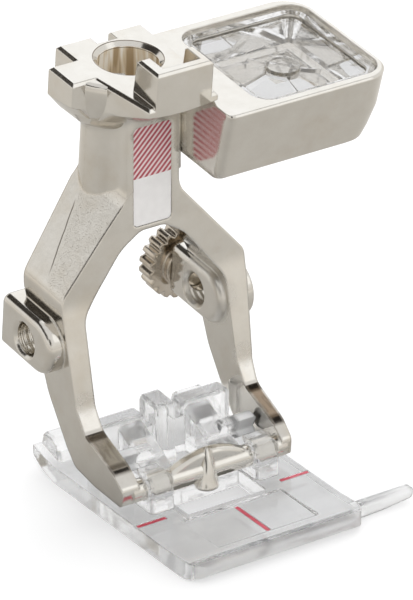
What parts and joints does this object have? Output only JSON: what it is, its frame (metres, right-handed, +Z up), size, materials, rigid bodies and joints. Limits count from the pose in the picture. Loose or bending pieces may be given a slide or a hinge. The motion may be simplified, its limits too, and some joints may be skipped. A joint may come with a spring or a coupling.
{
  "type": "sewing machine presser foot",
  "caption": "Presser foot with a forked metal shank, clip-on clear sole with needle slot and red guide marks, a lens arm with a clear prism at the side and a knurled clamp screw.",
  "frame": {"origin": "on the axis of the shaft socket, at the top of its straight wall just under the widened mouth", "axes": "+X towards the lens arm, +Y towards the back, +Z up with the sole lying flat below"},
  "size_m": [0.0406, 0.0389, 0.0526],
  "materials": {
    "nickel": "satin nickel plating",
    "screw_nickel": "satin nickel plating, knurled",
    "clear_plastic": "clear moulded plastic",
    "clear_prism": "clear moulded plastic",
    "label": "white film with a red diagonal hatch on the upper half",
    "red_mark": "red paint filling"
  },
  "bodies": {
    "shank": {"shank": "nickel", "sensor_prism": "clear_prism", "label_plate": "label"},
    "sole": {"clear_sole": "clear_plastic", "guide_marks": "red_mark"},
    "screw": {"clamp_screw": "screw_nickel"}
  },
  "joints": [
    {"name": "sole_tilt", "type": "hinge", "parent": "shank", "child": "sole", "pos_m": [0, -0.01546, -0.04419], "axis": [1, 0, 0], "range_deg": [-4, 13]},
    {"name": "clamp_turn", "type": "hinge", "parent": "shank", "child": "screw", "pos_m": [0.0107, 0.00456, -0.03009], "axis": [0, 0.9949, 0.1011], "range_deg": [0, 720]}
  ]
}
